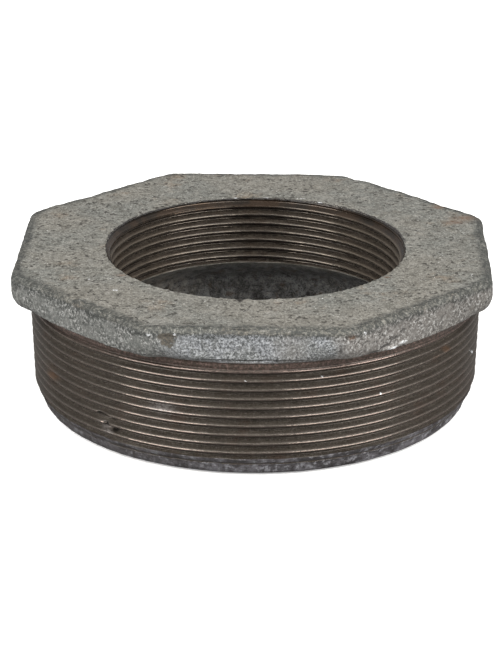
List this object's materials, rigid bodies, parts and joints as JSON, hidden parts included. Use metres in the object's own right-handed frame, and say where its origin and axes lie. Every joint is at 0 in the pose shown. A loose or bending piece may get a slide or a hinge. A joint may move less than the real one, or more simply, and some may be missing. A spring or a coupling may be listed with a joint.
{
  "type": "pipe reducing bush",
  "caption": "Threaded reducing bush with an octagonal spanner head: tapered male pipe thread outside, parallel female pipe thread in the head and a cast hollow below it.",
  "frame": {"origin": "on the bore axis, in the plane of the small end's rim, which the bush stands on", "axes": "+Z along the bore axis from the small end up to the octagon head; -Y out of one spanner flat"},
  "size_m": [0.1174, 0.1174, 0.0385],
  "materials": {
    "galvanised_iron": "hot-dip galvanised as-cast skin, dull grey with a fine crystal pattern; both threads cut through it to bare dark iron"
  },
  "bodies": {
    "root": {"bush_casting": "galvanised_iron"}
  },
  "joints": []
}
